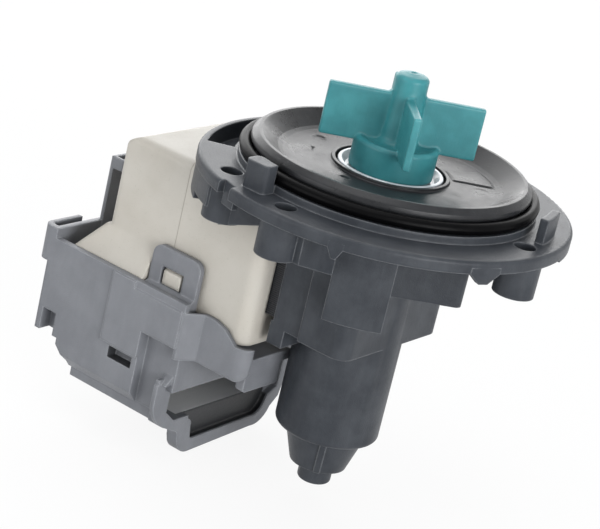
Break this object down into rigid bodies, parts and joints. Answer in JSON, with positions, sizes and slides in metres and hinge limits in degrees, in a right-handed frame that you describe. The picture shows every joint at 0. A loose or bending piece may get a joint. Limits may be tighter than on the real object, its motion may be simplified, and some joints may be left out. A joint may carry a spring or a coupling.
{
  "type": "circulation pump",
  "caption": "Washing machine circulation pump: synchronous motor with a straight-bladed impeller over a dished face plate, a screw flange, a moulded coil block and a clip-on plug shroud",
  "frame": {"origin": "centre of the flange's top face, on the pump axis", "axes": "+Z along the pump axis from the motor towards the impeller; -X towards the coil block and the plug inlet's shroud; +Y away from the side that carries the latch with the open channel below it"},
  "size_m": [0.12, 0.09, 0.1095],
  "materials": {
    "housing_plastic": "moulded glass-filled plastic, dark grey",
    "shroud_plastic": "moulded plastic, grey",
    "plate_plastic": "moulded plastic, near black",
    "cover_plastic": "ivory moulding compound",
    "impeller_plastic": "translucent teal moulded plastic",
    "shield_plastic": "white glossy plastic",
    "inner_plastic": "moulded plastic, black",
    "seal_rubber": "black rubber",
    "bearing_ceramic": "ground ceramic",
    "magnet_ferrite": "sintered ferrite, dark grey",
    "shaft_steel": "ground stainless steel",
    "core_steel": "varnished steel laminations",
    "coil_wire": "enamelled copper wire",
    "cutout_plastic": "moulded plastic case",
    "terminal_brass": "tinned brass"
  },
  "bodies": {
    "motor": {"flange_housing": "housing_plastic", "face_plate": "plate_plastic", "face_plate_seal": "seal_rubber", "bearing_carrier": "inner_plastic", "carrier_seal": "seal_rubber", "front_bearing": "bearing_ceramic", "front_bearing_mount": "seal_rubber", "rear_bearing": "bearing_ceramic", "rear_bearing_mount": "seal_rubber", "bearing_shield": "shield_plastic", "stator_core": "core_steel", "core_rivets": "shaft_steel", "rear_bobbin": "inner_plastic", "front_bobbin": "inner_plastic", "rear_winding": "coil_wire", "front_winding": "coil_wire", "thermal_cutout": "cutout_plastic", "coil_cover": "cover_plastic", "terminal_carrier": "inner_plastic", "terminal_blade_1": "terminal_brass", "terminal_blade_2": "terminal_brass", "connector_shroud": "shroud_plastic"},
    "rotor": {"rotor_shaft": "shaft_steel", "rotor_magnet": "magnet_ferrite", "magnet_carrier": "inner_plastic", "drive_dog": "inner_plastic", "front_thrust_washer": "bearing_ceramic", "rear_thrust_washer": "bearing_ceramic"},
    "impeller": {"impeller": "impeller_plastic", "clutch_cover": "impeller_plastic", "clutch_damper": "seal_rubber"}
  },
  "joints": [
    {"name": "rotor_spin", "type": "hinge", "parent": "motor", "child": "rotor", "pos_m": [0, 0, 0], "axis": [0, 0, 1], "continuous": true},
    {"name": "impeller_free_turn", "type": "hinge", "parent": "rotor", "child": "impeller", "pos_m": [0, 0, 0], "axis": [0, 0, 1], "range_deg": [-121, 121]}
  ]
}
